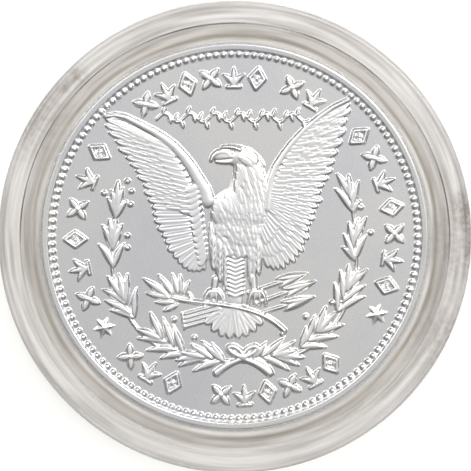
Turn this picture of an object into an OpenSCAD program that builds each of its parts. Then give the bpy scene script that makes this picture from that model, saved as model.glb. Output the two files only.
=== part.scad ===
// Round clear coin capsule with one large silver coin.
// Two clear shells press together around the coin: the base has a collar that
// holds the coin's edge, and the lid has a skirt that slides over the collar.
// +Z is up, and the origin is the centre of the foot ring's underside.

/* [Coin] */
// Diameter of the coin
coin_d = 38.1; // [32:0.1:46]
// Thickness over the two rims
coin_t = 2.4; // [1.8:0.05:3.2]
// Width of the plain raised rim
coin_rim_w = 0.7; // [0.4:0.05:1.2]
// Depth of each field below its rim
field_depth = 0.25; // [0.2:0.05:0.5]
// Chamfer between a rim and the edge
coin_chamfer = 0.2; // [0.1:0.05:0.3]
// Width of the border, where the beads stand, inside each rim
border_w = 0.5; // [0.3:0.05:0.6]
// Gap between a border and its rim
border_gap = 0.15; // [0.1:0.05:0.3]
// Height of the border and the relief above the field
relief_h = 0.15; // [0.1:0.01:0.2]

/* [Capsule] */
// Radial gap between the coin's edge and the collar
coin_gap = 0.15; // [0.1:0.01:0.4]
// Height that the coin is free to rattle in
coin_play = 0.1; // [0.05:0.01:0.4]
// Thickness of each window
window_t = 1.4; // [1:0.1:2.2]
// How far each window lies below its rim ring
window_recess = 0.4; // [0.2:0.05:0.8]
// Thickness of the base's collar
collar_t = 1.86; // [1.4:0.02:2.6]
// Gap between the collar's top and the lid's window
collar_gap = 0.05; // [0.03:0.01:0.2]
// Width of the lead-in bevel round the collar's mouth
lead_in = 0.65; // [0.3:0.05:0.9]
// Thickness of the lid's skirt
skirt_t = 2.15; // [1.6:0.05:3]
// Radial gap between the collar and the skirt
fit_gap = 0.04; // [0.02:0.01:0.08]
// Height of the base's flange
flange_h = 2.0; // [1.2:0.1:3]
// Bevel on each side of the seam
seam_bevel = 0.15; // [0.05:0.05:0.3]
// Radius of the rounded outer edges
edge_r = 0.4; // [0.2:0.05:0.6]
// How far each rim ring's inner edge lies outside the collar
ring_inset = 0.15; // [0.05:0.05:0.3]

/* [Hidden] */
$fn = 128;
sink = 0.1; // how far raised work is rooted in the coin's field

coin_r = coin_d / 2;
well_r = coin_r + coin_gap;
collar_r = well_r + collar_t;
skirt_r = collar_r + fit_gap;
capsule_r = skirt_r + skirt_t;
ring_r = collar_r + ring_inset; // inner radius of each rim ring's flat

base_floor = window_recess + window_t;
lid_ceiling = base_floor + coin_t + coin_play;
lid_top = lid_ceiling + window_t;
capsule_h = lid_top + window_recess;
collar_top = lid_ceiling - collar_gap;

field_r = coin_r - coin_rim_w;
field_t = coin_t - 2 * field_depth;

// Points of a quarter round of radius r about c, from angle a to angle a + 90
function quarter(c, r, a, steps = 6) =
    [for (i = [0 : steps]) c + r * [cos(a + 90 * i / steps), sin(a + 90 * i / steps)]];

// Lower shell: foot ring, recessed window, flange and collar, as half a section
function base_section() = concat(
    [[0, window_recess], [ring_r - window_recess, window_recess], [ring_r, 0]],
    quarter([capsule_r - edge_r, edge_r], edge_r, -90),
    [[capsule_r, flange_h - seam_bevel], [capsule_r - seam_bevel, flange_h]],
    [[collar_r, flange_h], [collar_r, collar_top]],
    [[well_r + lead_in, collar_top], [well_r, collar_top - lead_in]],
    [[well_r, base_floor], [0, base_floor]]
);

// Upper shell: rim ring, recessed window and skirt, as half a section
function lid_section() = concat(
    [[0, lid_ceiling], [skirt_r, lid_ceiling], [skirt_r, flange_h]],
    [[capsule_r - seam_bevel, flange_h], [capsule_r, flange_h + seam_bevel]],
    quarter([capsule_r - edge_r, capsule_h - edge_r], edge_r, 0),
    [[ring_r, capsule_h], [ring_r - window_recess, lid_top], [0, lid_top]]
);

module capsule_base() {
    color([0.86, 0.87, 0.86, 0.4])
        rotate_extrude() polygon(base_section());
}

module capsule_lid() {
    color([0.9, 0.91, 0.9, 0.35])
        rotate_extrude() polygon(lid_section());
}

// Half section of the blank, with bevelled rims and sunk fields
function blank_section() = let (half = coin_t / 2, fill = field_t / 2) [
    [0, -fill], [field_r, -fill], [field_r + field_depth / 2, -half],
    [coin_r - coin_chamfer, -half], [coin_r, coin_chamfer - half],
    [coin_r, half - coin_chamfer], [coin_r - coin_chamfer, half],
    [field_r + field_depth / 2, half], [field_r, fill], [0, fill]
];

// Raised border round a field
module border() {
    outer_r = field_r - border_gap;
    translate([0, 0, -sink])
        difference() {
            cylinder(r = outer_r, h = relief_h + sink);
            cylinder(r = outer_r - border_w, h = 3 * relief_h + sink, center = true);
        }
}

// Outline of a pointed leaf from the origin along +X
module leaf_outline(length, width) {
    polygon([[0, 0], [0.25 * length, -0.4 * width], [0.5 * length, -width / 2],
        [0.78 * length, -0.32 * width], [length, 0], [0.78 * length, 0.32 * width],
        [0.5 * length, width / 2], [0.25 * length, 0.4 * width]]);
}

// Solid leaf standing on a field, at a point, turned to an angle
module leaf(at, turn, length, width) {
    translate([at[0], at[1], -sink])
        rotate([0, 0, turn])
            linear_extrude(relief_h + sink) leaf_outline(length, width);
}

// Leaves that fan out from a point, between two angles
module fan(at, first, last, count, length, width) {
    for (i = [0 : count - 1])
        leaf(at, first + (last - first) * i / (count - 1), length, width);
}

// Two laurel branches that rise from the foot of the field, one each side
module wreath() {
    wreath_r = 0.66 * field_r;
    sprigs = 10;
    reach = 125; // how far round each branch goes, in degrees
    for (side = [-1, 1], i = [0 : sprigs - 1]) {
        a = -90 + side * (14 + i * reach / sprigs);
        fan(wreath_r * [cos(a), sin(a)], a + side * 58, a + side * 122, 3,
            0.15 * field_r, 0.042 * field_r);
    }
}

// Plain bird of prey with raised wings, a fanned tail and its head to one side
module bird() {
    size = 0.58 * field_r;
    feather = 0.16 * size; // width of one feather
    for (side = [0, 1])
        mirror([side, 0, 0])
            fan([feather, 0.1 * size], -42, 74, 9, 1.1 * size, feather);
    fan([0, -0.35 * size], -112, -68, 5, 0.62 * size, feather);
    leaf([0, -0.62 * size], 90, 1.15 * size, 0.5 * size);
    leaf([0.1 * size, 0.56 * size], 158, 0.42 * size, 0.24 * size);
}

// Plain star with pointed rays
module star(points) {
    fan([0, 0], 90, 90 + 360 * (points - 1) / points, points, 0.55 * field_r, 0.2 * field_r);
}

module silver_coin() {
    color([0.78, 0.78, 0.79])
        translate([0, 0, base_floor + coin_t / 2]) {
            rotate_extrude() polygon(blank_section());
            translate([0, 0, field_t / 2]) {
                border();
                wreath();
                bird();
            }
            rotate([180, 0, 0]) translate([0, 0, field_t / 2]) {
                border();
                star(8);
            }
        }
}

capsule_base();
capsule_lid();
silver_coin();
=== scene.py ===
# %% [markdown]
# Round coin capsule, closed on a large silver coin.
#
# The real thing is three pieces: two clear moulded shells that press together, and a
# struck coin between them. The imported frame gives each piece's place and size. What is
# made here is the look: the coin's relief as real geometry, the shells' soft edges, and
# the finish of struck silver and of clear acrylic.

# %% Load the frame and measure it
import math
import bpy
import numpy as np
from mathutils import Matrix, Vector


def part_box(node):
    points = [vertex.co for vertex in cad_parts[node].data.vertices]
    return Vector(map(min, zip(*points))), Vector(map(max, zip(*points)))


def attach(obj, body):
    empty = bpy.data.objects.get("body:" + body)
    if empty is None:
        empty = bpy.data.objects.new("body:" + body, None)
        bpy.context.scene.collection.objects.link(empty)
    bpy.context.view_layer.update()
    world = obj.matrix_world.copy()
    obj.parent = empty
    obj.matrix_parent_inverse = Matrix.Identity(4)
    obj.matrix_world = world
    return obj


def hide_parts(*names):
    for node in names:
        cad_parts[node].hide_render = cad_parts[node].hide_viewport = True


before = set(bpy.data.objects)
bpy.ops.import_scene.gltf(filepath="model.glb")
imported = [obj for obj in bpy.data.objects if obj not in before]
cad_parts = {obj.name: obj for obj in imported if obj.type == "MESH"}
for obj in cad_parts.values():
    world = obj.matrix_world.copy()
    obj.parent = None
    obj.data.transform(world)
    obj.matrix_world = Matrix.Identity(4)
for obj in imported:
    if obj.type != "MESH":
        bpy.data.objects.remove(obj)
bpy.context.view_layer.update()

MM = 0.001                      # one millimetre in metres
base_low, base_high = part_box("capsule_base")
lid_low, lid_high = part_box("capsule_lid")
coin_low, coin_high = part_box("silver_coin")
capsule_r = lid_high.x / MM
capsule_h = lid_high.z / MM
coin_r = coin_high.x / MM
coin_t = (coin_high.z - coin_low.z) / MM
print(f"capsule {2 * capsule_r:.2f} x {capsule_h:.2f} mm, coin {2 * coin_r:.2f} x {coin_t:.2f} mm")

# %% [markdown]
# The camera comes first, because everything is judged through it. It looks almost
# straight down on the coin and leans a few degrees towards the top of the design. It
# stands 0.6 m away, as for a close-up with a long lens, so that the rings of the capsule
# stay nearly concentric.

# %% Camera
LEAN = math.radians(4)          # how far the view leans off the coin's axis
DISTANCE = 0.60                 # metres
FILL = 0.995                    # the frame's width over the capsule's width
SENSOR = 36                     # width of the camera's sensor, mm

aim = Vector((0.06 * MM, 0.03 * MM, capsule_h * MM / 2))    # a hair off the capsule's middle
camera = bpy.data.objects.new("camera", bpy.data.cameras.new("camera"))
bpy.context.scene.collection.objects.link(camera)
bpy.context.scene.camera = camera
camera.location = aim + DISTANCE * Vector((0, math.sin(LEAN), math.cos(LEAN)))
camera.rotation_euler = (-LEAN, 0, 0)
camera.data.sensor_width = SENSOR
rim_distance = DISTANCE - capsule_h * MM / 2
camera.data.lens = SENSOR * rim_distance / (2 * capsule_r * MM * FILL)
camera.data.clip_start = 0.01
print(f"lens {camera.data.lens:.0f} mm at {DISTANCE:.2f} m")

# %% [markdown]
# Colours are written as the sRGB hex values that a paint chart would give. Blender
# works in linear light, so one function turns hex to linear. Another small function
# adds a shader node with its settings and its links, which keeps each material short.
# Five short ones use it for what comes up again and again: a colour ramp, a change of
# range, a step of arithmetic, a blend of two colours, and noise.

# %% Colour and node helpers
def colour(code):
    """The linear colour for an sRGB hex code such as "#C8C8CA"."""
    parts = [int(code[i : i + 2], 16) / 255 for i in (1, 3, 5)]
    linear = [p / 12.92 if p <= 0.04045 else ((p + 0.055) / 1.055) ** 2.4 for p in parts]
    return (*linear, 1.0)


def add(tree, kind, inputs=None, **settings):
    """Adds a shader node. Each input is a plain value, or another node's output to link."""
    node = tree.nodes.new("ShaderNode" + kind)
    for name, value in settings.items():
        setattr(node, name, value)
    for name, value in (inputs or {}).items():
        if isinstance(value, bpy.types.NodeSocket):
            tree.links.new(value, node.inputs[name])
        else:
            node.inputs[name].default_value = value
    return node


def new_material(name):
    """An empty material and its node tree."""
    material = bpy.data.materials.new(name)
    material.use_nodes = True
    material.node_tree.nodes.clear()
    return material, material.node_tree


def ramp(tree, factor, stops):
    """A colour ramp from (position, hex code) pairs in rising order."""
    node = add(tree, "ValToRGB", {"Fac": factor})
    points = node.color_ramp.elements
    points[1].position = stops[-1][0]
    points[1].color = colour(stops[-1][1])
    points[0].position = stops[0][0]
    points[0].color = colour(stops[0][1])
    for position, code in stops[1:-1]:
        points.new(position).color = colour(code)
    return node.outputs[0]


def rescale(tree, value, from_low, from_high, to_low=0.0, to_high=1.0):
    """Maps a value from one range to another, and holds it inside the second."""
    return add(tree, "MapRange", {
        "Value": value, "From Min": from_low, "From Max": from_high,
        "To Min": to_low, "To Max": to_high}).outputs[0]


def work_out(tree, operation, *values):
    """One step of arithmetic on numbers."""
    return add(tree, "Math", dict(enumerate(values)), operation=operation).outputs[0]


def blend(tree, share, under, over, kind="MIX"):
    """Lays one colour over another by a share from 0 to 1."""
    inputs = {0: share, 6: under, 7: over}
    return add(tree, "Mix", inputs, data_type="RGBA", blend_type=kind).outputs[2]


def noise(tree, place, scale, detail):
    """Cloudy noise. Its patches are about one metre across, divided by the scale."""
    return add(tree, "TexNoise", {"Vector": place, "Scale": scale, "Detail": detail}).outputs[0]


# %% [markdown]
# A silver coin has almost no colour of its own: what the eye reads is the room that it
# mirrors. Flat fields mirror what is straight above, so the sky is a plain grey there.
# Slopes mirror what is low and to the side. A broad softbox at the upper right makes
# the slopes that face it white. The sky is dark low down, and weaker at the lower left,
# which draws the dark line at each foot of the relief. The floor is plain pale paper.

# %% Floor, sky and softboxes
FLOOR_SIZE = 3.0                # metres
FLOOR_DROP = 0.02               # mm under the foot ring, so the two don't share a plane
TENT = [(0.0, "#343435"), (0.45, "#474749"), (0.78, "#D6D5D4"), (0.92, "#D2D2D3"), (0.97, "#D6D6D9"),
        (1.0, "#D6D6D9")]                    # the sky's grey, by the sine of the height in it
SHADE = 0.50                    # strength of the sky at lower left
SHINE = 1.25                    # and at upper right


def make_floor():
    """A plain pale sheet under the capsule."""
    mesh = bpy.data.meshes.new("floor")
    s = FLOOR_SIZE / 2
    low = -FLOOR_DROP * MM
    mesh.from_pydata([(-s, -s, low), (s, -s, low), (s, s, low), (-s, s, low)], [], [(0, 1, 2, 3)])
    floor = bpy.data.objects.new("floor", mesh)
    bpy.context.scene.collection.objects.link(floor)
    material, tree = new_material("pale_paper")
    paper = add(tree, "BsdfDiffuse", {"Color": colour("#FAFAFA")})
    add(tree, "OutputMaterial", {"Surface": paper.outputs[0]})
    mesh.materials.append(material)


def make_sky():
    """A light tent: pale overhead, dark low down, and weaker at lower left."""
    world = bpy.data.worlds.new("studio")
    bpy.context.scene.world = world
    world.use_nodes = True
    tree = world.node_tree
    tree.nodes.clear()
    where = add(tree, "TexCoord")
    axes = add(tree, "SeparateXYZ", {"Vector": where.outputs["Generated"]})
    tent = ramp(tree, axes.outputs["Z"], TENT)
    side = work_out(tree, "ADD", axes.outputs["X"], axes.outputs["Y"])
    power = rescale(tree, side, -1.0, 1.0, SHADE, SHINE)
    glow = add(tree, "Background", {"Color": tent, "Strength": power})
    add(tree, "OutputWorld", {"Surface": glow.outputs[0]})


def softbox(name, azimuth, elevation, reach, size, watts, tint):
    """A square area light aimed at the capsule from a bearing and a height in degrees."""
    lamp = bpy.data.objects.new(name, bpy.data.lights.new(name, "AREA"))
    bpy.context.scene.collection.objects.link(lamp)
    a, e = math.radians(azimuth), math.radians(elevation)
    way = Vector((math.cos(a) * math.cos(e), math.sin(a) * math.cos(e), math.sin(e)))
    lamp.location = aim + reach * way
    lamp.rotation_euler = way.to_track_quat("Z", "Y").to_euler()
    lamp.data.size = size
    lamp.data.energy = watts
    lamp.data.color = colour(tint)[:3]


make_floor()
make_sky()
softbox("key_upper_right", 48, 52, 0.9, 0.50, 5.4, "#FFFEFC")
softbox("fill_upper_left", 140, 52, 0.9, 0.50, 2.2, "#FFFFFF")
bpy.context.scene.view_settings.view_transform = "Standard"
bpy.context.scene.view_settings.exposure = 0.10
print("floor, sky and two softboxes")

# %% [markdown]
# A struck coin is one smooth skin that rises and falls by a quarter of a millimetre. It
# could be carved as hundreds of separate leaves and feathers, but they would cross each
# other and leave gaps. Here the skin is a height map instead: a fine grid of heights,
# in millimetres above the field. Each leaf, feather and bead is pressed into the map
# as a small shape, and at the end the map becomes one closed mesh.

# %% The height map
CELL = 0.045                    # grid spacing, mm: finer than the finest line
REACH = coin_r + 0.2            # half the width of the map, mm
AXIS = np.arange(-REACH, REACH + CELL, CELL)


def blank_map():
    """A new flat height map."""
    return np.zeros((len(AXIS), len(AXIS)))


def window(centre, radius):
    """The part of the map round a point: its slices and its x and y in mm."""
    spans = []
    for c in (centre[1], centre[0]):
        first = max(int((c - radius + REACH) / CELL), 0)
        last = min(int((c + radius + REACH) / CELL) + 2, len(AXIS))
        spans.append(slice(first, last))
    x, y = np.meshgrid(AXIS[spans[1]], AXIS[spans[0]])
    return tuple(spans), x, y


def press(heights, part, inside, rise, ground=0.0):
    """Raises the map to ground + rise inside a shape, and never lowers it."""
    under = ground[part] if isinstance(ground, np.ndarray) else ground
    top = np.where(inside, under + rise, 0.0)
    heights[part] = np.maximum(heights[part], top)


print(f"height map of {len(AXIS)} x {len(AXIS)} cells")

# %% [markdown]
# Four shapes make nearly everything. A blade is a leaf or a feather: it runs from a
# root to a tip, can bend, can have a vein, and can be tilted so that neighbours
# overlap like tiles. A mound is a smooth oval. A cord follows a line of points. A
# gem is a star with facets that fall away from its centre.

# %% Blade, mound, cord and gem
VEIN_WIDTH = 0.05               # half the width of the groove down a leaf, mm


def blade(heights, root, tip, width, rise, ground=0.0, bend=0.0, tilt=0.0, vein=0.0,
          blunt=0.0, lift=0.0):
    """A leaf (blunt 0) or a round-ended feather (blunt 1) from root to tip."""
    root, tip = np.array(root, float), np.array(tip, float)
    run = tip - root
    length = float(np.hypot(*run))
    along = run / length
    part, x, y = window((root + tip) / 2, length / 2 + width + abs(bend))
    u = ((x - root[0]) * along[0] + (y - root[1]) * along[1]) / length
    v = (y - root[1]) * along[0] - (x - root[0]) * along[1]
    v = v - 4 * bend * u * (1 - u)
    c = np.clip(u, 0.0, 1.0)
    leaf = np.sin(np.pi * c ** 0.85) ** 0.85                 # widest just before the middle
    neck = np.clip((c + 0.12) / 0.45, 0.0, 1.0)              # a feather is narrow at its root
    end = np.sqrt(np.clip(1 - (np.clip(c - 0.72, 0, 1) / 0.28) ** 2, 0, 1))      # and round at its tip
    half = width / 2 * ((1 - blunt) * leaf + blunt * neck * end) + 1e-6
    s = v / half
    inside = (np.abs(s) < 1) & (u > 0) & (u < 1)
    body = np.clip(1 - s * s, 0, 1) ** (0.65 - 0.40 * blunt)
    body = rise * (body + tilt * s + lift * c) - vein * np.exp(-(v / VEIN_WIDTH) ** 2)
    press(heights, part, inside, np.maximum(body, 0.01), ground)


def mound(heights, centre, across, along, turn, rise, ground=0.0, power=0.5):
    """A smooth oval, turned by an angle in degrees."""
    part, x, y = window(centre, max(across, along))
    t = math.radians(turn)
    dx, dy = x - centre[0], y - centre[1]
    p = (dx * math.cos(t) + dy * math.sin(t)) / across
    q = (dy * math.cos(t) - dx * math.sin(t)) / along
    d = p * p + q * q
    press(heights, part, d < 1, rise * np.clip(1 - d, 0, 1) ** power, ground)


def cord(heights, points, width, rise, ground=0.0, end_width=None):
    """A rounded line along a list of points, from one width to another."""
    points = np.array(points, float)
    centre = (points.max(0) + points.min(0)) / 2
    radius = np.hypot(*(points.max(0) - points.min(0))) / 2 + width
    part, x, y = window(centre, radius)
    best = np.full(x.shape, 9.0)                             # the gap, over half the cord's width
    widths = np.linspace(width, width if end_width is None else end_width, len(points))
    for a, b, w0, w1 in zip(points[:-1], points[1:], widths[:-1], widths[1:]):
        run = b - a
        t = ((x - a[0]) * run[0] + (y - a[1]) * run[1]) / (run @ run)
        t = np.clip(t, 0, 1)
        gap = np.hypot(x - a[0] - t * run[0], y - a[1] - t * run[1])
        best = np.minimum(best, gap / ((w0 + (w1 - w0) * t) / 2))
    press(heights, part, best < 1, rise * np.sqrt(np.clip(1 - best ** 2, 0, 1)), ground)


def gem(heights, centre, radius, points, turn, rise, inner=0.5):
    """A faceted star: ridges run to its points, and valleys between them."""
    part, x, y = window(centre, radius)
    angle = np.arctan2(y - centre[1], x - centre[0]) - math.radians(turn)
    step = 2 * math.pi / points
    a = np.abs((angle + step / 2) % step - step / 2)
    r = np.hypot(x - centre[0], y - centre[1])
    valley_x, valley_y = radius * inner * math.cos(step / 2), radius * inner * math.sin(step / 2)
    nx, ny = valley_y, radius - valley_x                     # across the edge from a point to a valley
    reach = (nx * r * np.cos(a) + ny * r * np.sin(a)) / (nx * radius)
    press(heights, part, reach < 1, rise * (1 - reach))


def curve(points, count):
    """Points along the Bezier curve with these two to four control points."""
    t = np.linspace(0, 1, count)[:, None]
    p = [np.array(q, float) for q in points]
    while len(p) > 1:
        p = [a * (1 - t) + b * t for a, b in zip(p[:-1], p[1:])]
    return p[0]


def around(radius, degrees):
    """The point at a radius and a bearing from the coin's centre."""
    return radius * np.array([math.cos(math.radians(degrees)), math.sin(math.radians(degrees))])

# %% [markdown]
# The bird is a plain bird of prey with both wings raised. A wing is drawn with two
# lines: one along the feathers' roots and one along their tips, with points that match
# in order from the foot of the wing to its top. Feathers are laid between the two
# lines. Shorter rows lie over the roots of the long ones, and tilting every feather a
# little makes each one overlap the next, which is what draws the fine dark lines.

# %% Wings
rng = np.random.default_rng(7)


def along(line, t):
    """The point a share t of the way along a list of points."""
    line = np.array(line, float)
    place = t * (len(line) - 1)
    i = min(int(place), len(line) - 2)
    return line[i] + (line[i + 1] - line[i]) * (place - i)


def feather_row(heights, roots, tips, count, first, last, start, reach, rise, ground, tilt, blunt):
    """Feathers side by side, from share first to share last of the wing.

    Each one runs from share start to share reach of the gap between the two lines.
    """
    step = (last - first) / (count - 1)
    for i in range(count):
        t = first + (last - first) * i / (count - 1)
        root, tip = along(roots, t), along(tips, t)
        ahead, behind = min(t + step / 2, 1), max(t - step / 2, 0)
        gap = along(tips, ahead) * reach + along(roots, ahead) * (1 - reach)
        gap = gap - along(tips, behind) * reach - along(roots, behind) * (1 - reach)
        run = (tip - root) / np.hypot(*(tip - root))
        width = 1.25 * abs(gap[0] * run[1] - gap[1] * run[0]) + 0.12
        jitter = 1 + 0.03 * rng.standard_normal()
        blade(heights, root + (tip - root) * start, root + (tip - root) * reach * jitter, width, rise,
              ground=ground, tilt=tilt, blunt=blunt, vein=0.035, lift=0.14)


def left_wing(heights):
    """The wing on the left, with small feathers over its root and an arm along its top."""
    tips = [(-3.0, -3.3), (-3.9, -3.5), (-4.7, -3.4), (-5.5, -2.8), (-6.2, -1.8), (-6.9, -0.6), (-7.4, 0.4),
            (-7.9, 1.6), (-8.2, 2.7), (-8.6, 3.8), (-9.1, 5.0), (-9.8, 6.2), (-10.5, 7.2), (-11.3, 8.3),
            (-12.0, 9.6), (-12.7, 10.8), (-12.8, 11.8)]
    roots = [(-3.2, -1.6), (-3.4, -1.7), (-3.6, -1.6), (-3.7, -1.2), (-3.8, -0.6), (-3.9, 0.1), (-4.0, 0.9),
             (-4.1, 1.8), (-4.2, 2.6), (-4.3, 3.4), (-4.4, 4.2), (-4.6, 5.0), (-5.0, 5.9), (-5.6, 7.0),
             (-6.3, 8.1), (-7.1, 9.1), (-7.9, 9.8)]
    # Each row is count, first, last, start, reach, rise, ground, tilt and blunt.
    for row in ((26, 0.0, 0.99, 0.0, 1.0, 0.11, 0.03, 0.10, 0.75),
                (17, 0.55, 0.98, 0.1, 0.80, 0.08, 0.08, 0.14, 0.8),
                (15, 0.52, 0.97, 0.0, 0.62, 0.10, 0.08, 0.12, 0.65),
                (17, 0.52, 0.96, 0.0, 0.46, 0.08, 0.11, 0.16, 0.85),
                (13, 0.50, 0.95, -0.1, 0.30, 0.09, 0.12, 0.14, 0.85)):
        feather_row(heights, roots, tips, *row)
    coverts = [(-3.5, 5.0), (-3.35, 3.8), (-3.2, 2.4), (-3.05, 1.0), (-2.9, -0.4), (-2.8, -1.6)]
    for i in range(13):
        root, heading = along(coverts, i / 12), -162 + 42 * i / 12
        blade(heights, root, root + 1.45 * around(1.0, heading), 0.78, 0.09, ground=0.13 - 0.004 * i,
              tilt=0.14, blunt=0.9, lift=0.25)
    arm = [(-12.7, 11.9), (-11.8, 12.0), (-10.8, 11.8), (-9.5, 11.15), (-8.0, 10.35), (-7.0, 9.7),
           (-6.0, 8.9), (-5.1, 7.9), (-4.3, 6.8), (-3.6, 5.6), (-3.0, 4.6), (-2.7, 3.6)]
    cord(heights, arm, 0.45, 0.20, ground=0.05, end_width=1.45)


def right_wing(heights):
    """The wing on the right, with its arm along the inner side."""
    tips = [(3.0, -2.8), (3.8, -3.2), (4.5, -3.3), (5.2, -2.9), (5.9, -2.4), (6.5, -1.7), (7.0, -0.9),
            (7.3, 0.0), (7.7, 0.9), (7.9, 1.8), (8.1, 2.7), (8.3, 3.6), (8.7, 4.7), (9.1, 5.6), (9.6, 6.7),
            (10.0, 8.0), (10.5, 9.4), (11.0, 11.0), (11.4, 12.4), (11.3, 13.3)]
    roots = [(2.3, 0.2), (2.5, 0.6), (2.7, 0.9), (2.9, 1.3), (3.1, 1.7), (3.2, 2.1), (3.3, 2.6), (3.4, 3.0),
             (3.4, 3.3), (3.5, 3.6), (3.6, 3.9), (3.8, 4.3), (4.0, 4.9), (4.3, 5.7), (4.7, 6.6), (5.3, 7.7),
             (6.0, 8.9), (6.9, 10.1), (7.8, 11.2), (8.7, 12.0)]
    for row in ((27, 0.02, 0.99, 0.0, 1.0, 0.11, 0.03, -0.10, 0.75),
                (21, 0.40, 0.98, 0.1, 0.85, 0.08, 0.08, -0.14, 0.8),
                (25, 0.02, 0.97, 0.0, 0.68, 0.09, 0.08, -0.12, 0.7),
                (25, 0.30, 0.97, 0.0, 0.53, 0.08, 0.11, -0.16, 0.85),
                (21, 0.08, 0.95, -0.05, 0.36, 0.08, 0.12, -0.14, 0.85),
                (21, 0.35, 0.95, -0.1, 0.22, 0.07, 0.15, -0.16, 0.85)):
        feather_row(heights, roots, tips, *row)
    arm = [(3.2, 2.8), (3.3, 4.4), (3.6, 5.8), (4.1, 7.0), (4.8, 8.1), (5.6, 9.2), (6.8, 10.5), (8.3, 11.8),
           (9.7, 12.8), (11.1, 13.5)]
    cord(heights, arm, 0.95, 0.19, ground=0.05, end_width=0.45)

# %% [markdown]
# A fan of tail feathers shows under the branch, and a barred band leads down to it
# between the legs. The legs are clothed in long feathers that hang side by side, with
# short ones laid over them.

# %% Tail and legs
def bird_tail(heights):
    """The fan under the branch, and the barred band that leads to it."""
    for i, heading in enumerate((-145, -36, -128, -52, -112, -68, -98, -82)):
        root = np.array([-0.1, -6.6])
        blade(heights, root, root + 3.5 * around(1.0, heading), 0.95, 0.12, ground=0.02 + 0.008 * i,
              blunt=1.0, vein=0.03, lift=0.5)
    band = blank_map()
    cord(band, [(0.1, 0.0), (0.0, -6.3)], 1.8, 0.17, end_width=1.6)
    heights[:] = np.maximum(heights, band)
    for y in np.arange(-5.9, -0.6, 0.42):
        for side in (-1, 1):
            cord(heights, [(0.05 + side * 0.72, y + 0.3), (0.05, y)], 0.3, 0.05, ground=0.15)


def bird_legs(heights):
    """Long feathers down each leg, short ones over them, and the shanks below."""
    for x, top, foot, width in ((-2.35, 1.4, -3.0, 0.75), (-1.75, 0.6, -4.4, 0.75), (-1.1, 0.3, -5.4, 0.7),
                                (1.35, 0.2, -4.6, 0.6), (1.75, 0.4, -4.2, 0.7), (2.25, 0.7, -3.8, 0.8)):
        blade(heights, (x - 0.1, top), (x + 0.15, foot), width, 0.2, blunt=0.5, vein=0.03, tilt=0.2)
    for x, top, foot in ((-2.2, 0.4, -3.0), (-1.55, 0.0, -4.2), (-1.0, -0.6, -4.8), (2.2, 0.0, -3.4)):
        for y in np.arange(foot + 0.9, top, 0.75):
            blade(heights, (x, y), (x + 0.12, y - 1.2), 0.42, 0.06, ground=0.17, blunt=0.4, lift=0.6)
    cord(heights, [(-1.9, -4.2), (-2.1, -5.6)], 0.7, 0.2, end_width=0.6)
    cord(heights, [(1.8, -4.0), (1.9, -5.4)], 0.75, 0.2, end_width=0.7)

# %% [markdown]
# The body is built as masses first, smooth ovals for the chest and neck, and then
# dressed: feathers are laid on in rows from the belly up, each tip standing over the row
# below like roof tiles. The head turns to one side, with a hooked beak, a brow and a
# small eye.

# %% Body and head
def dress(heights, mass, left, right, headings, size, rise, blunt=0.5, long=2.2):
    """A row of short feathers over a smooth mass, from one end to the other."""
    left, right = np.array(left, float), np.array(right, float)
    count = max(int(round(np.hypot(*(right - left)) / (0.72 * size))), 1)
    for i in range(count + 1):
        share = i / count
        root = left + (right - left) * share + 0.07 * rng.standard_normal(2)
        way = around(1.0, headings[0] + (headings[1] - headings[0]) * share + 5 * rng.standard_normal())
        blade(heights, root, root + long * size * way, size, rise, ground=mass, blunt=blunt,
              lift=0.7, vein=0.02, tilt=0.25)


def bird_body(heights):
    """Chest and neck as one mass, dressed in rows from the belly up to the neck."""
    mass = blank_map()
    mound(mass, (0.2, -1.2), 2.4, 2.9, 0, 0.12)
    mound(mass, (0.4, 0.6), 2.4, 2.4, 0, 0.16)
    mound(mass, (0.45, 2.6), 2.85, 2.3, 0, 0.18)
    cord(mass, curve([(1.0, 7.6), (1.9, 5.6), (0.9, 2.6)], 15), 2.5, 0.19, end_width=4.4)
    heights[:] = np.maximum(heights, mass)
    for y in np.arange(-0.9, 4.0, 0.62):
        half = 2.55 * math.sqrt(max(1 - ((y - 1.6) / 3.4) ** 2, 0.1))
        dress(heights, mass, (0.2 - half, y + 0.35), (0.7 + half, y + 0.15), (-58, -84), 0.72, 0.08)
    for y, left, right in ((4.3, -1.0, 2.9), (5.0, -0.1, 2.8), (5.7, 0.1, 2.6), (6.4, 0.2, 2.4),
                           (7.1, 0.3, 2.2)):
        dress(heights, mass, (left, y), (right, y + 0.1), (-66, -74), 0.72, 0.07, blunt=0.25, long=2.6)


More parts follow.
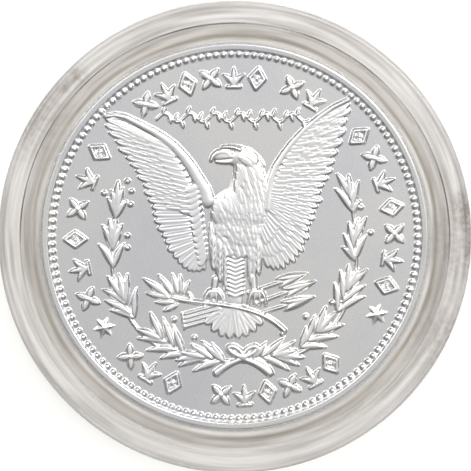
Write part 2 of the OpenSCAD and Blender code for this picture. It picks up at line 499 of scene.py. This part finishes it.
def bird_head(heights):
    """A smooth crown, a brow, an eye and a hooked beak."""
    crown = blank_map()
    mound(crown, (0.25, 8.0), 1.75, 1.05, -12, 0.24)
    mound(crown, (1.1, 7.5), 1.25, 1.25, 0, 0.24)
    heights[:] = np.maximum(heights, crown)
    dress(heights, crown, (0.4, 8.0), (1.7, 8.2), (-38, -50), 0.6, 0.05, blunt=0.25, long=3.0)
    mound(heights, (-1.05, 7.98), 1.15, 0.62, 4, 0.23, power=0.4)
    cord(heights, curve([(-0.4, 8.2), (-2.0, 8.7), (-2.35, 7.55)], 9), 1.0, 0.24, end_width=0.34)
    cord(heights, curve([(-0.2, 7.45), (-1.1, 7.3), (-1.8, 7.45)], 7), 0.5, 0.19, end_width=0.34)
    cord(heights, curve([(-1.2, 8.85), (-0.3, 9.0), (0.5, 8.6)], 7), 0.3, 0.09, ground=0.22)
    part, x, y = window((-0.25, 8.3), 0.5)
    heights[part] -= 0.12 * np.exp(-(((x + 0.25) / 0.26) ** 2 + ((y - 8.3) / 0.2) ** 2))
    mound(heights, (-0.25, 8.3), 0.13, 0.13, 0, 0.06, ground=0.17)
    part, x, y = window((-1.2, 7.7), 1.2)
    gape = np.exp(-((y - 7.62 - 0.10 * (x + 1.2)) / 0.06) ** 2) * (np.abs(x + 1.1) < 0.85)
    heights[part] -= 0.08 * gape * (heights[part] > 0.1)

# %% [markdown]
# The bird stands on a leafy branch, over a sheaf of three arrows. Shafts and the branch
# are cords, the arrowheads are long pointed blades, and each claw is a short curved
# cord.

# %% Branch, arrows and claws
def perch(heights):
    """Arrows first, then the branch over them, then the claws over both."""
    for i, (base, point) in enumerate([((4.7, -6.9), (7.9, -5.9)), ((4.8, -5.6), (8.0, -4.4)),
                                       ((4.2, -4.6), (7.2, -3.6))]):
        base, point = np.array(base), np.array(point)
        run = (point - base) / np.hypot(*(point - base))
        across = np.array([-run[1], run[0]])
        cord(heights, [base - 3.0 * run, point - 1.2 * run], 0.3, 0.13, ground=0.02)
        for side in (-1, 1):
            blade(heights, base + side * 0.45 * across, point, 0.72, 0.22, tilt=-0.4 * side)
    for i in range(4):
        foot = np.array([-4.9, -8.9 + 0.42 * i])
        cord(heights, [foot, foot + np.array([3.4, 0.95])], 0.34, 0.14, ground=0.03 + 0.01 * i)
    cord(heights, [(-5.0, -9.1), (-5.2, -7.6)], 0.3, 0.12, end_width=0.25)
    stem = curve([(-6.2, -6.0), (-3.5, -6.9), (2.0, -6.2), (4.9, -9.3)], 26)
    cord(heights, stem, 0.42, 0.23, ground=0.03, end_width=0.45)
    leaves = [((-6.4, -6.0), (-9.1, -4.1)), ((-6.2, -6.1), (-8.8, -5.6)), ((-6.0, -5.9), (-7.6, -3.7)),
              ((-5.6, -5.8), (-6.2, -3.6)), ((-5.3, -5.8), (-5.4, -3.7)), ((-5.1, -5.9), (-4.5, -4.3)),
              ((-5.9, -6.5), (-7.9, -6.5)), ((-5.6, -6.7), (-7.1, -7.4)), ((-4.2, -6.4), (-4.6, -5.5))]
    for root, tip in leaves:
        length = math.dist(root, tip)
        blade(heights, root, tip, 0.34 + 0.13 * length, 0.21, vein=0.03)
    for foot, spread in ((-2.1, 1.0), (2.2, 0.9)):
        mound(heights, (foot, -5.7), 0.7, 0.55, 0, 0.25)
        for k in (-1.2, -0.4, 0.4, 1.2):
            out = k * spread
            toe = [(foot + 0.3 * k, -5.4), (foot + 0.75 * out, -5.8), (foot + 0.8 * out, -6.75)]
            cord(heights, curve(toe, 7), 0.58, 0.27, end_width=0.24)

# %% [markdown]
# The wreath is two laurel branches that rise from a tied bow at the foot. Their leaves
# sit in tufts. A tuft is drawn as its root and the points of its leaves: each leaf is a
# narrow blade from a spot near the root to its own point, and the middle leaves lie on
# top of the outer ones.

# %% Wreath
TUFTS = [
    ((-1.0, -12.4), [(-5.6, -12.9), (-4.2, -13.4), (-5.9, -12.3), (-2.3, -10.5), (-3.3, -10.3),
                     (-4.4, -10.6), (-5.5, -11.4)]),
    ((-4.9, -11.7), [(-7.4, -12.1), (-8.8, -11.3), (-9.7, -10.1), (-6.1, -8.7), (-7.1, -8.0),
                     (-8.4, -7.4), (-9.8, -9.1)]),
    ((-9.9, -8.1), [(-12.4, -7.3), (-13.1, -5.2), (-9.7, -5.0), (-12.9, -6.3), (-10.6, -3.6),
                    (-12.6, -3.9), (-11.5, -3.6)]),
    ((-12.0, -3.1), [(-13.5, -0.7), (-10.9, -0.6), (-13.1, 1.2), (-11.1, 1.3), (-12.4, 1.8), (-11.7, 1.9)]),
    ((-11.8, 1.8), [(-12.6, 3.9), (-10.6, 3.6), (-12.2, 4.7), (-11.0, 4.9), (-11.5, 5.6)]),
    ((1.7, -12.0), [(3.9, -13.7), (5.4, -13.3), (3.1, -10.4), (6.4, -12.8), (5.0, -9.9), (6.0, -10.3),
                    (6.9, -12.0), (6.2, -11.2)]),
    ((6.4, -11.0), [(9.1, -11.0), (7.0, -8.9), (10.2, -9.9), (7.9, -7.7), (10.8, -8.7), (9.0, -6.8),
                    (10.0, -7.4)]),
    ((10.1, -7.5), [(12.9, -5.9), (9.8, -4.5), (12.9, -4.8), (10.4, -3.3), (13.1, -3.2), (11.2, -2.7),
                    (12.2, -3.1)]),
    ((11.8, -2.4), [(10.5, -1.0), (13.0, 0.2), (10.7, 0.3), (13.0, 2.0), (11.2, 1.5), (12.2, 1.9)]),
    ((11.6, 2.3), [(9.8, 4.8), (12.4, 3.6), (10.0, 6.3), (12.2, 5.6), (11.2, 6.2)]),
]
BERRIES = [(-10.6, 5.5), (-10.2, 4.5), (-10.3, 3.2), (-10.6, 0.1), (-10.6, -1.1), (-12.9, 4.3), (13.4, 0.4),
           (12.4, 2.9), (11.9, -1.9), (-4.0, -10.0), (4.7, -9.6), (7.0, -7.9), (-6.0, -8.2), (9.6, -6.5)]


def wreath(heights):
    """Two branches of tufts, with a bow where they cross."""
    for side, ends in ((-1, (-11.9, 2.0)), (1, (11.6, 2.4))):
        stem = curve([(side * 0.6, -12.3), (side * 9.8, -13.2), (side * 13.4, -5.4), ends], 41)
        cord(heights, stem, 0.4, 0.14, end_width=0.2)
    for root, points in TUFTS:
        root = np.array(root)
        axis = np.mean(points, 0) - root
        axis /= np.hypot(*axis)
        for i, point in enumerate(points):
            point = np.array(point)
            start = root + axis * max((point - root) @ axis - 2.6, 0.0)
            middle = i / (len(points) - 1)
            side = np.sign(axis @ np.array([start[1] - point[1], point[0] - start[0]]))
            blade(heights, start, point, 0.72, 0.19, ground=0.06 * middle,
                  bend=0.2 * float(side) * (1 - middle), vein=0.03)
    for spot in BERRIES:
        mound(heights, spot, 0.27, 0.27, 0, 0.2)
    for side in (-1, 1):
        loop = curve([(0.8, -11.8), (0.8 + side * 0.6, -10.2), (0.8 + side * 2.9, -10.9), (0.8, -12.0)], 15)
        cord(heights, loop, 0.55, 0.20, ground=0.04)
        tail = curve([(0.8, -12.1), (0.8 + side * 1.5, -12.5), (0.8 + side * 2.6, -13.5)], 9)
        cord(heights, tail, 0.5, 0.20, ground=0.03, end_width=0.75)
    mound(heights, (0.8, -11.9), 0.55, 0.5, 0, 0.28)

# %% [markdown]
# A band of small ornaments fills the space between the wreath and the border, where a
# coin carries its legend. Lozenges, four-petal flowers and leaf sprigs follow each other
# in groups. Two six-pointed stars part the long band from the short one, and a fine
# vine with tiny leaves runs above the bird.

# %% Ornaments, stars and vine
BAND_R = 15.75                  # radius through the middle of the band


def flower(heights, centre, turn):
    """Four petals round a pellet."""
    for k in range(4):
        heading = turn + 45 + 90 * k
        blade(heights, centre, centre + 1.3 * around(1.0, heading), 0.78, 0.22, vein=0.04)
    mound(heights, centre, 0.3, 0.3, 0, 0.26)


def lozenge(heights, centre, turn):
    """A frame with four sides and a pellet inside."""
    corners = [centre + around(r, turn + a) for r, a in ((1.0, 0), (0.72, 90), (1.0, 180), (0.72, 270))]
    cord(heights, corners + corners[:1], 0.42, 0.21)
    mound(heights, centre, 0.24, 0.24, 0, 0.2)


def sprig(heights, centre, turn):
    """Three leaves that rise from a short bar."""
    foot = centre - 0.95 * around(1.0, turn)
    for lean, length in ((-42, 1.7), (42, 1.7), (0, 2.0)):
        tip = foot + length * around(1.0, turn + lean)
        blade(heights, foot, tip, 0.62, 0.21, vein=0.03, bend=-0.2 * lean / 42)
    aside = 0.62 * around(1.0, turn + 90)
    cord(heights, [foot - aside, foot + aside], 0.36, 0.2)


def legend_band(heights):
    """Groups of ornaments round the top and the foot."""
    kinds = (flower, sprig, lozenge)
    groups = ((203, 148, 6, 0), (124, 82, 6, 0), (69, 60, 2, 0), (39, -18, 7, 0),
              (229, 247, 3, 180), (265, 307, 6, 180))
    place = 0
    for first, last, count, turned in groups:
        for i in range(count):
            bearing = first + (last - first) * i / (count - 1)
            kinds[place % 3](heights, around(BAND_R, bearing), bearing + turned)
            place += 1
    for centre in ((-12.9, -9.0), (14.0, -7.7)):
        gem(heights, np.array(centre), 1.2, 6, 12, 0.26, inner=0.5)


def vine(heights):
    """A fine waving stem with tiny leaves, over the bird's head."""
    x = np.linspace(-7.7, 7.3, 76)
    y = 11.75 + 0.42 * np.sin(x * 2.5)
    cord(heights, np.stack([x, y], 1), 0.24, 0.13)
    for i in range(3, 74, 3):
        side = 1 if (i // 3) % 2 else -1
        root = np.array([x[i], y[i]])
        blade(heights, root, root + 0.85 * around(1.0, 72 * side), 0.42, 0.16)

# %% [markdown]
# The border is a ring of beads inside a plain rim. The field climbs gently under the
# beads, so they catch the light on one side of the coin and fall dark on the other. The
# rim takes the wear when coins are stacked, so no part of the relief stands above it.

# %% Beads, rim and the two faces
BEAD_COUNT = 150
BEAD_RING_R = 18.0              # radius of the ring of beads, mm
BEAD_R = 0.29                   # radius of one bead
BEAD_RISE = 0.17
STRIKE = 1.2                    # the whole relief is struck this much bolder than drawn
FIELD_DEPTH = 0.36              # how far the field lies under the rim
DISH_R = 17.62                  # the field starts to climb here
STEP_R = 18.34                  # the foot of the rim
RIM_R = 18.44                   # the top of the rim begins
RIM_END_R = 18.95               # and ends


def border(heights):
    """Beads standing on the slope that climbs from the field to the rim."""
    beads = blank_map()
    for i in range(BEAD_COUNT):
        spot = around(BEAD_RING_R, 360 * i / BEAD_COUNT)
        mound(beads, spot, BEAD_R, BEAD_R, 0, BEAD_RISE, power=0.75)
    x, y = np.meshgrid(AXIS, AXIS)
    ground = np.interp(np.hypot(x, y), [DISH_R, STEP_R, RIM_R, RIM_END_R], [0.0, 0.045, 0.28, 0.30])
    heights[:] = np.maximum(heights, ground + beads)


def struck(heights):
    """The relief as struck: a little bolder, and nowhere above the rim."""
    return np.minimum(heights * STRIKE, FIELD_DEPTH)


def front_face():
    """The face with the bird."""
    heights = blank_map()
    legend_band(heights)
    vine(heights)
    wreath(heights)
    left_wing(heights)
    right_wing(heights)
    bird_tail(heights)
    bird_legs(heights)
    bird_body(heights)
    bird_head(heights)
    perch(heights)
    border(heights)
    return struck(heights)


def back_face():
    """The other face: a faceted star in a ring of leaves and small stars."""
    heights = blank_map()
    gem(heights, (0, 0), 7.4, 8, 90, 0.28, inner=0.42)
    gem(heights, (0, 0), 4.2, 8, 112.5, 0.22, inner=0.5)
    for i in range(36):
        bearing = 10 * i
        root = around(10.6, bearing)
        for lean in (62, 90, 118):
            blade(heights, root, root + 2.5 * around(1.0, bearing + lean), 0.66, 0.2, vein=0.03)
    for i in range(13):
        gem(heights, around(BAND_R, 90 + 360 * i / 13), 1.15, 6, 90 + 360 * i / 13, 0.24)
    border(heights)
    return struck(heights)


front, back = front_face(), back_face()
print(f"relief up to {front.max():.2f} mm on the front and {back.max():.2f} mm on the back")

# %% [markdown]
# The maps now become one closed mesh. A square grid of points is bent into a disc, so
# that each square ring of the grid turns into a circle and the outermost ring runs
# along the rim with evenly spaced points. Twelve of those points make one reed of the
# milled edge.

# %% From map to disc
REEDS = 189
PER_REED = 12
STEPS = REEDS * PER_REED // 4   # grid steps along one side of the square
SOFTNESS = 0.035                # how far a corner of the relief is rounded, mm


def disc_grid(radius):
    """x and y of a square grid of points bent into a disc."""
    line = np.linspace(-1, 1, STEPS + 1)
    a, b = np.meshgrid(line, line)
    wide = np.abs(a) > np.abs(b)
    r = np.where(wide, a, b)
    other = np.where(wide, b, a)
    turn = math.pi / 4 * other / np.where(r == 0, 1, r)
    turn = np.where(wide, turn, math.pi / 2 - turn)
    return radius * r * np.cos(turn), radius * r * np.sin(turn)


def soften(heights):
    """Rounds every corner a little, as metal that flowed into a die."""
    k = np.exp(-0.5 * (np.arange(-3, 4) * CELL / SOFTNESS) ** 2)
    k /= k.sum()
    for axis in (0, 1):
        heights = sum(w * np.roll(heights, i - 3, axis) for i, w in enumerate(k))
    return heights


def read_map(heights, x, y):
    """The height at each point, blended from the four cells round it."""
    u, v = (x + REACH) / CELL, (y + REACH) / CELL
    i, j = u.astype(int), v.astype(int)
    s, t = u - i, v - j
    near = heights[j, i] * (1 - s) + heights[j, i + 1] * s
    far = heights[j + 1, i] * (1 - s) + heights[j + 1, i + 1] * s
    return near * (1 - t) + far * t


def square_ring():
    """Indices of the grid's outermost points, counter-clockwise from one corner."""
    index = np.arange((STEPS + 1) ** 2).reshape(STEPS + 1, STEPS + 1)
    return np.concatenate([index[0, :-1], index[:-1, -1], index[-1, :0:-1], index[:0:-1, 0]])


print(f"disc of {STEPS} x {STEPS} cells, {4 * STEPS} points round the rim")

# %% [markdown]
# Rows of points join the two faces: over a small bevel, down the reeds, and over the
# other bevel. The mesh also carries a number for each point, from 0 on the open field
# to 1 on the raised design, which the silver uses to place its frost.

# %% Coin mesh
CLEARANCE = 0.02                # parts that touch are drawn this far apart, mm
FACE_INSET = 0.22               # each face's grid ends this far in from the edge
REED_DEPTH = 0.10               # how deep the grooves of the edge are cut
FROST_RISE = 0.10               # relief this high over the field is fully frosted
EDGE_FROST = 0.5                # the edge is half as frosted as the design
EDGE_ROWS = [(0.10, 0.0, 0.0), (0.03, 0.02, 0.0), (0.0, 0.08, 0.0), (0.0, 0.24, 0.8),
             (0.0, 0.34, 1.0)]  # how far in, how far down, and the share of a reed's depth


def coin_quads(ring, rows):
    """The quads of both faces and of the rows between them."""
    size = (STEPS + 1) ** 2
    index = np.arange(size).reshape(STEPS + 1, STEPS + 1)
    cells = np.stack([index[:-1, :-1], index[:-1, 1:], index[1:, 1:], index[1:, :-1]], -1).reshape(-1, 4)
    last = size + rows * len(ring)
    rims = [ring] + [size + k * len(ring) + np.arange(len(ring)) for k in range(rows)] + [last + ring]
    quads = [cells]
    for upper, lower in zip(rims[:-1], rims[1:]):
        quads.append(np.stack([lower, np.roll(lower, -1), np.roll(upper, -1), upper], 1))
    quads.append(cells[:, ::-1] + last)
    return np.concatenate(quads)


def make_coin():
    """The whole coin: two struck faces and the reeded edge."""
    x, y = disc_grid(coin_r - FACE_INSET)
    top_z = coin_high.z / MM + CLEARANCE
    foot_z = coin_low.z / MM + CLEARANCE
    top_rise = read_map(soften(front), x, y)
    foot_rise = read_map(soften(back), x, -y)
    x, y, top_rise, foot_rise = x.ravel(), y.ravel(), top_rise.ravel(), foot_rise.ravel()
    ring = square_ring()
    angle = np.arctan2(y[ring], x[ring])
    reed = 0.5 - 0.5 * np.cos(2 * math.pi * np.arange(len(ring)) / PER_REED)
    rows = [(inset, top_z - drop, bite) for inset, drop, bite in EDGE_ROWS]
    rows += [(inset, foot_z + drop, bite) for inset, drop, bite in EDGE_ROWS[::-1]]
    raised = np.hypot(x, y) < RIM_R                          # the plain rim isn't frosted
    points = [np.stack([x, y, top_z - FIELD_DEPTH + top_rise], 1)]
    frost = [np.clip(top_rise / FROST_RISE, 0, 1) * raised]
    for inset, z, bite in rows:
        r = coin_r - inset - REED_DEPTH * bite * reed ** 1.5
        points.append(np.stack([r * np.cos(angle), r * np.sin(angle), np.full(len(ring), z)], 1))
        frost.append(np.full(len(ring), EDGE_FROST))
    points.append(np.stack([x, y, foot_z + FIELD_DEPTH - foot_rise], 1))
    frost.append(np.clip(foot_rise / FROST_RISE, 0, 1) * raised)
    mesh = bpy.data.meshes.new("struck_coin")
    mesh.from_pydata(np.concatenate(points) * MM, [], coin_quads(ring, len(rows)))
    mesh.shade_smooth()
    mesh.attributes.new("frost", "FLOAT", "POINT").data.foreach_set("value", np.concatenate(frost))
    return mesh


coin_mesh = make_coin()
print(f"coin mesh of {len(coin_mesh.polygons)} faces, {REEDS} reeds")

# %% [markdown]
# Struck silver. The metal itself is nearly colourless and mirrors everything, so the
# finish decides the look. A coin fresh from the die has a fine frost: the flow of the
# metal leaves tiny grains that blur the mirror. The blur is stronger on the design
# than in the fields, and a faint warm and cool drift shows where it has been handled.

# %% Struck silver
FIELD_GLOSS = 0.27              # roughness of the open field
FROST = 0.38                    # roughness of the raised design


def struck_silver():
    """Silver with a frosted strike, its grain drawn coarser than life."""
    material, tree = new_material("struck_silver")
    place = add(tree, "TexCoord").outputs["Object"]
    grain = noise(tree, place, 4200.0, 2.0)                  # about a quarter of a millimetre
    drift = noise(tree, place, 130.0, 3.0)                   # cloudy patches of 8 mm
    tone = ramp(tree, drift, [(0.35, "#E4E4E8"), (0.65, "#EDECEA")])
    frost = add(tree, "Attribute", attribute_name="frost").outputs["Fac"]
    base = rescale(tree, frost, 0.0, 1.0, FIELD_GLOSS, FROST)
    uneven = rescale(tree, grain, 0.0, 1.0, -0.015, 0.015)
    rough = work_out(tree, "ADD", base, uneven)
    bump = add(tree, "Bump", {"Height": grain, "Strength": 0.02, "Distance": 0.03 * MM})
    metal = add(tree, "BsdfPrincipled", {
        "Base Color": tone, "Roughness": rough, "Normal": bump.outputs[0], "Metallic": 1.0})
    add(tree, "OutputMaterial", {"Surface": metal.outputs[0]})
    return material


def place_piece(name, mesh, body, node, material):
    """Puts a finished mesh in the scene in place of its CAD node."""
    piece = bpy.data.objects.new(name, mesh)
    bpy.context.scene.collection.objects.link(piece)
    mesh.materials.append(material)
    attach(piece, body)
    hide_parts(node)


place_piece("struck_coin", coin_mesh, "coin", "silver_coin", struck_silver())
print(f"silver: roughness {FIELD_GLOSS} in the field and {FROST} on the design")

# %% [markdown]
# Each shell is moulded in one shot and is round, so a half section turned about the
# axis makes it. The corners that a mould can't leave sharp are rounded. The lid's
# skirt stands on the base's flange, and a hair of air is left between the two, as in
# real life, so that the seam catches the light.

# %% Shell sections
TURNS = 384                     # steps round the axis
flange_z = lid_low.z / MM
collar_z = base_high.z / MM


def fillet(corner, before, after, radius, count=6):
    """Points that round off one corner of a section."""
    c = np.array(corner, float)
    a = np.array(before, float) - c
    b = np.array(after, float) - c
    a, b = a / np.hypot(*a), b / np.hypot(*b)
    half = math.acos(float(np.clip(a @ b, -1, 1))) / 2
    back = radius / math.tan(half)
    middle = c + (a + b) / np.hypot(*(a + b)) * radius / math.sin(half)
    first = math.atan2(*(c + a * back - middle)[::-1])
    sweep = math.atan2(*(c + b * back - middle)[::-1]) - first
    sweep = (sweep + math.pi) % (2 * math.pi) - math.pi
    turns = [first + sweep * i / count for i in range(count + 1)]
    return [middle + radius * np.array([math.cos(a), math.sin(a)]) for a in turns]


def rounded(section):
    """A section given as (r, z, radius) corners, with each corner rounded."""
    out = []
    for i, (r, z, radius) in enumerate(section):
        before = section[i - 1]
        after = section[(i + 1) % len(section)]
        if radius:
            out += [tuple(p) for p in fillet((r, z), before[:2], after[:2], radius)]
        else:
            out.append((r, z))
    return out


def lathe(name, section):
    """Turns a closed half section about the axis. Its first and last points lie on it."""
    section = rounded(section)
    ring = section[1:-1]
    angle = np.linspace(0, 2 * math.pi, TURNS, endpoint=False)
    points = [(0, 0, section[0][1]), (0, 0, section[-1][1])]
    for r, z in ring:
        points += [(r * c, r * s, z) for c, s in zip(np.cos(angle), np.sin(angle))]
    faces = []
    for k in range(TURNS):
        n = (k + 1) % TURNS
        faces.append((0, 2 + n, 2 + k))
        for i in range(len(ring) - 1):
            a, b = 2 + i * TURNS, 2 + (i + 1) * TURNS
            faces.append((a + k, a + n, b + n, b + k))
        b = 2 + (len(ring) - 1) * TURNS
        faces.append((b + k, b + n, 1))
    mesh = bpy.data.meshes.new(name)
    mesh.from_pydata([tuple(c * MM for c in p) for p in points], [], faces)
    mesh.shade_smooth()
    mesh.set_sharp_from_angle(angle=math.radians(25))
    return mesh


WELL_R = 19.20                  # the recess that the coin lies in, mm
LEAD_IN = 0.65                  # slope at the mouth of that recess
COLLAR_R = 21.06                # outside of the base's collar
SKIRT_R = 21.10                 # inside of the lid's skirt
RING_R = 21.21                  # inner edge of the raised ring round each window
RING_RISE = 0.4                 # the ring stands this far out from the window, on a 45 degree slope
CEILING_Z = 4.30                # underside of the lid's window
base_mesh = lathe("base_shell", [
    (0, RING_RISE, 0), (RING_R - RING_RISE, RING_RISE, 0.1), (RING_R, 0.0, 0.1), (capsule_r, 0.0, 0.4),
    (capsule_r, flange_z - CLEARANCE, 0.15), (COLLAR_R, flange_z - CLEARANCE, 0.05),
    (COLLAR_R, collar_z, 0.12), (WELL_R + LEAD_IN, collar_z, 0.15), (WELL_R, collar_z - LEAD_IN, 0.15),
    (WELL_R, coin_low.z / MM, 0.12), (0, coin_low.z / MM, 0)])
# The lid is listed from the top, so the list is turned round to wind the same way.
lid_mesh = lathe("lid_shell", [
    (0, capsule_h - RING_RISE, 0), (RING_R - RING_RISE, capsule_h - RING_RISE, 0.1), (RING_R, capsule_h, 0.1),
    (capsule_r, capsule_h, 0.4), (capsule_r, flange_z + CLEARANCE, 0.15),
    (SKIRT_R, flange_z + CLEARANCE, 0.1), (SKIRT_R, CEILING_Z, 0.1), (0, CEILING_Z, 0)][::-1])
print(f"shells of {len(base_mesh.polygons)} and {len(lid_mesh.polygons)} faces")

# %% [markdown]
# Years of handling mark the thick ring round the windows. Fine streaks follow the turn
# of the mould, dust gathers in the seam between the two shells, and fingers leave
# grubby patches. The seam also gets painted shade: a dark line, stronger towards the top.
# Each of these is a layer of tint, laid over the plastic's own.

# %% Streaks, dust with painted seam shade, and grubby marks
STREAK = "#DAD8D6"
# a dark tint for dust and for painted shade in the seam
DUST_AND_SHADE = "#6B645C"
WHITE = (1, 1, 1, 1)


def turned_streaks(tree, hue, flat, radius, ring_part):
    """Noise that changes fast along the radius, 0.4 mm, and slowly round the ring."""
    bearing = add(tree, "VectorMath", {0: flat}, operation="NORMALIZE").outputs[0]
    around_ring = add(tree, "VectorMath", {0: bearing, "Scale": 2.5}, operation="SCALE").outputs[0]
    outward = work_out(tree, "MULTIPLY", radius, 2400.0)
    outward = add(tree, "CombineXYZ", {"Z": outward}).outputs[0]
    swept = add(tree, "VectorMath", {0: around_ring, 1: outward}).outputs[0]
    streaks = ramp(tree, noise(tree, swept, 1.0, 4.0), [(0.32, STREAK), (0.60, "#FFFFFF")])
    return blend(tree, 1.0, hue, blend(tree, ring_part, WHITE, streaks), "MULTIPLY")


def smudge(tree, hue, place, x, y, size, code):
    """A grubby patch round one spot on the top, broken up by noise."""
    spot = (x * MM, y * MM, capsule_h * MM)
    away = add(tree, "VectorMath", {0: place, 1: spot}, operation="DISTANCE").outputs["Value"]
    near = rescale(tree, away, size * MM, 0.2 * size * MM)
    broken = rescale(tree, noise(tree, place, 1500.0, 6.0), 0.30, 0.72, 0.25)        # specks of 0.7 mm
    much = work_out(tree, "MULTIPLY", near, broken)
    return blend(tree, 1.0, hue, blend(tree, much, WHITE, colour(code)), "MULTIPLY")


def seam_dust_and_shade(tree, hue, place, radius, seam_r, reach, lowest):
    """Dust and painted shade in the seam, in patches of 11 mm, thinning out towards the lower part."""
    axes = add(tree, "SeparateXYZ", {"Vector": place})
    in_seam = work_out(tree, "COMPARE", radius, seam_r * MM, reach * MM)
    on_top = work_out(tree, "GREATER_THAN", axes.outputs["Z"], lowest * MM)
    low = rescale(tree, axes.outputs["Y"], -9 * MM, 2 * MM)
    patchy = rescale(tree, noise(tree, place, 90.0, 2.0), 0.42, 0.62, 0.35)
    much = work_out(tree, "MULTIPLY", work_out(tree, "MULTIPLY", in_seam, on_top),
                    work_out(tree, "MULTIPLY", low, patchy))
    # dust with painted shade: a dark tint in the seam, stronger towards the top
    return blend(tree, much, hue, colour(DUST_AND_SHADE))

# %% [markdown]
# Clear acrylic. It bends light like glass, with an index of 1.49. The windows are
# polished and stay clear. The ring round them has gone a little milky and grey. Its light
# and dark rings and the warm line where the wall steps are painted reflections and painted
# shade in the tint. Lamp rays pass straight through, so the coin inside is lit; what the eye
# looks through is still true glass.

# %% Clear acrylic
ACRYLIC_INDEX = 1.49
CLEAR_LEFT = 0.62               # how much light the ring still passes unscattered
RING_START = 19.0               # the clear window ends at this radius, mm
RING_FULL = 19.4                # and the ring has its full haze from here
LAMP_TINT = "#FDFDFC"           # what a lamp ray keeps at each surface


def clear_acrylic(name, tints_with_painted_light, dust_and_shade_at=None, smudges=()):
    """Moulded clear acrylic. tints_with_painted_light gives the tint at each radius in mm, with its painted
    light and dark rings.
    """
    material, tree = new_material(name)
    place = add(tree, "TexCoord").outputs["Object"]
    flat = add(tree, "VectorMath", {0: place, 1: (1, 1, 0)}, operation="MULTIPLY").outputs[0]
    radius = add(tree, "VectorMath", {0: flat}, operation="LENGTH").outputs["Value"]
    ring_part = rescale(tree, radius, RING_START * MM, RING_FULL * MM)
    share = work_out(tree, "DIVIDE", radius, capsule_r * MM)
    # the tint by radius, with painted reflections and painted shade where walls and corners show as rings
    hue = ramp(tree, share, [(r / capsule_r, code) for r, code in tints_with_painted_light])
    hue = turned_streaks(tree, hue, flat, radius, ring_part)
    for spot in smudges:
        hue = smudge(tree, hue, place, *spot)
    # dust and painted shade in the seam
    if dust_and_shade_at:
        hue = seam_dust_and_shade(tree, hue, place, radius, *dust_and_shade_at)
    rough = rescale(tree, noise(tree, place, 900.0, 4.0), 0.45, 0.80, 0.0, 0.2)      # marks of 1 mm
    plastic = add(tree, "BsdfPrincipled", {
        "Base Color": hue, "Roughness": rough, "IOR": ACRYLIC_INDEX,
        "Transmission Weight": rescale(tree, ring_part, 0.0, 1.0, 1.0, CLEAR_LEFT)})
    clear = add(tree, "BsdfTransparent", {"Color": colour(LAMP_TINT)})
    rays = add(tree, "LightPath")
    shader = plastic
    for kind in ("Is Diffuse Ray", "Is Glossy Ray", "Is Shadow Ray"):
        shader = add(tree, "MixShader", {0: rays.outputs[kind], 1: shader.outputs[0], 2: clear.outputs[0]})
    # A ray already inside the plastic must meet real plastic again on its way out.
    shader = add(tree, "MixShader", {
        0: rays.outputs["Is Transmission Ray"], 1: shader.outputs[0], 2: plastic.outputs[0]})
    add(tree, "OutputMaterial", {"Surface": shader.outputs[0]})
    return material

# %% [markdown]
# The two shells differ in their tints. Seen from above, each wall and corner of the
# mould bends and mirrors the light into a ring of its own, light or dark. These rings are
# painted into the tints as painted reflections and painted shade, so the tints are listed
# by radius. The lid also has the dust, with painted shade in the seam, and the grubby marks.

# %% Tints of the two shells, with painted light and dark rings
# the light and dark rings of walls and corners, and the warm line at the step, are painted light in these
# tints
BASE_TINTS_WITH_PAINTED_LIGHT = [
    (18.95, "#FFFFFF"), (19.10, "#C9C6C2"), (19.25, "#E2E0DD"), (19.42, "#CFCCC8"), (19.55, "#DEDBD7"),
    (19.70, "#D2CEC7"), (19.82, "#A6967A"), (19.95, "#CFCCC6"), (20.4, "#D8D5D1"), (20.9, "#D0CDC9"),
    (21.3, "#E9E7E5"), (22.7, "#EBE9E7"), (23.2, "#DDDBD8")]
LID_TINTS_WITH_PAINTED_LIGHT = [
    (18.95, "#FFFFFF"), (19.15, "#E6E4E2"), (19.35, "#F6F5F4"), (19.55, "#F0EEEC"), (19.75, "#CCC7BF"),
    (19.90, "#CFC9C0"), (20.1, "#DEDBD7"), (20.9, "#DCD9D5"), (21.2, "#EDEBEA"), (21.5, "#DFDDDB"),
    (21.75, "#F1F0EF"), (22.5, "#F1EFEE"), (22.75, "#D4D2D0"), (22.9, "#ECEAE9"), (23.2, "#D8D6D4")]
SMUDGES = [(22.8, 2.8, 2.6, "#A9A098"), (24.6, -1.0, 6.6, "#ABA39B"), (22.0, -10.0, 6.0, "#BFB8B1"),
           (-21.0, 12.0, 6.5, "#CDC8C3"), (-15.6, 16.0, 1.5, "#BDB7B0"),
           (-16.8, 14.9, 0.9, "#A59E96")]    # x, y and size in mm, and the tint
# the dust in the seam also carries painted shade, stronger towards the top
SEAM_DUST_AND_SHADE = (SKIRT_R, 0.07, 5.5)    # radius, reach and lowest height, mm

acrylic_base = clear_acrylic("clear_acrylic_base", BASE_TINTS_WITH_PAINTED_LIGHT)
acrylic_lid = clear_acrylic("clear_acrylic_lid", LID_TINTS_WITH_PAINTED_LIGHT, SEAM_DUST_AND_SHADE, SMUDGES)
place_piece("base_shell", base_mesh, "base", "capsule_base", acrylic_base)
place_piece("lid_shell", lid_mesh, "lid", "capsule_lid", acrylic_lid)
print(f"two acrylic shells, {len(SMUDGES)} grubby marks on the lid")
